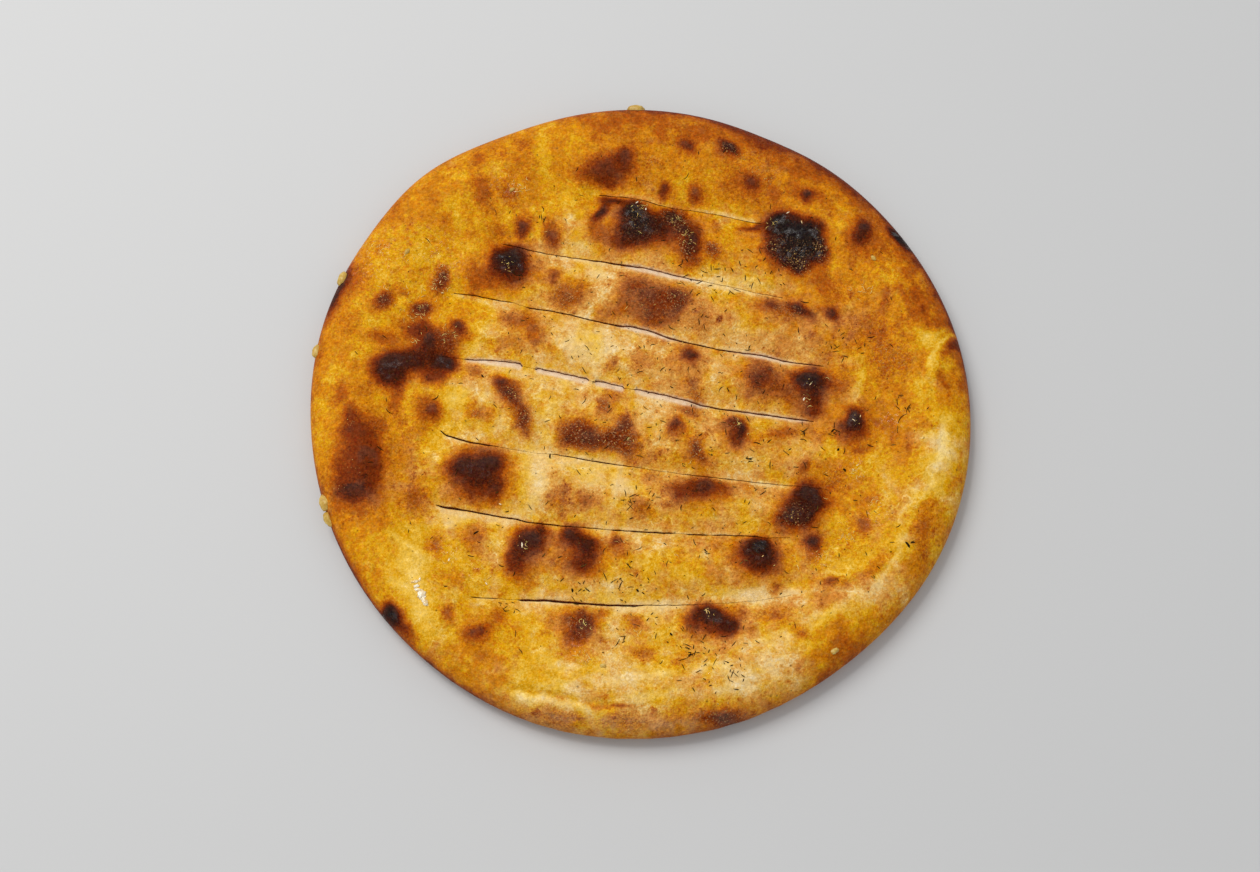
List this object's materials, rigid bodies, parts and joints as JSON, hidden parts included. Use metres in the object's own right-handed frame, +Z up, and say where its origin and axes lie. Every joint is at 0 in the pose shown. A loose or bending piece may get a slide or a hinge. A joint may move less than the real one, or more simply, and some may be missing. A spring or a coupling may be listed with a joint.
{
  "type": "focaccia",
  "caption": "Whole round focaccia: a flat oiled hearth bread with a puffed rim, charred blisters, knife slits through its field and baked-on herb flakes.",
  "frame": {"origin": "middle of the flat underside, at the middle of the bread's box", "axes": "+Z up out of the oiled top, +X along the slits, +Y across them towards the side of the shortest slit"},
  "size_m": [0.2898, 0.2928, 0.019],
  "materials": {
    "crust": "satin"
  },
  "bodies": {
    "root": {"focaccia": "crust"}
  },
  "joints": []
}
